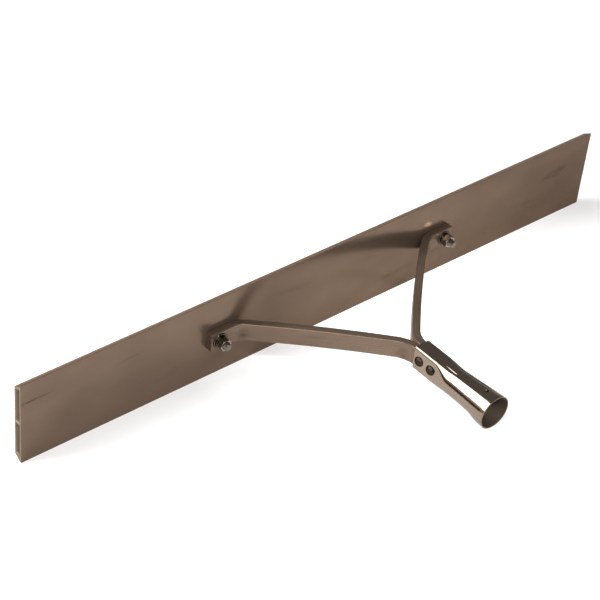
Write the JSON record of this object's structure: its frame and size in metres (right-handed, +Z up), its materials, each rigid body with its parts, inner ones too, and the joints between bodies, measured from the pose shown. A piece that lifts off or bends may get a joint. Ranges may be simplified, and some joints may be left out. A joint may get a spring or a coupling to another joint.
{
  "type": "smoothing straightedge head",
  "caption": "Long hollow straightedge blade on a forked flat-bar bracket, with a flattened and flared ferrule for a long handle; spreads and smooths concrete or asphalt.",
  "frame": {"origin": "on the floor under the middle of the tool's box, with the tool resting on the blade's lower front edge and on the rim of the ferrule's mouth", "axes": "+X along the blade, to the right as seen from the handle; +Y from the handle towards the blade; +Z up. The blade and the ferrule's axis lean 7.2 degrees in this pose"},
  "size_m": [0.9144, 0.31, 0.1141],
  "materials": {
    "blade_metal": "satin mill finish, lightly scuffed",
    "bar_metal": "satin mill finish",
    "ferrule_plate": "bright plated",
    "rivet_steel": "blackened",
    "zinc_fastener": "zinc plated"
  },
  "bodies": {
    "root": {"blade": "blade_metal", "left_arm": "bar_metal", "right_arm": "bar_metal", "handle_socket": "ferrule_plate", "front_rivet": "rivet_steel", "rear_rivet": "rivet_steel", "left_bolt": "zinc_fastener", "right_bolt": "zinc_fastener", "left_washer": "zinc_fastener", "right_washer": "zinc_fastener", "left_lock_washer": "zinc_fastener", "right_lock_washer": "zinc_fastener", "left_nut": "zinc_fastener", "right_nut": "zinc_fastener"}
  },
  "joints": []
}
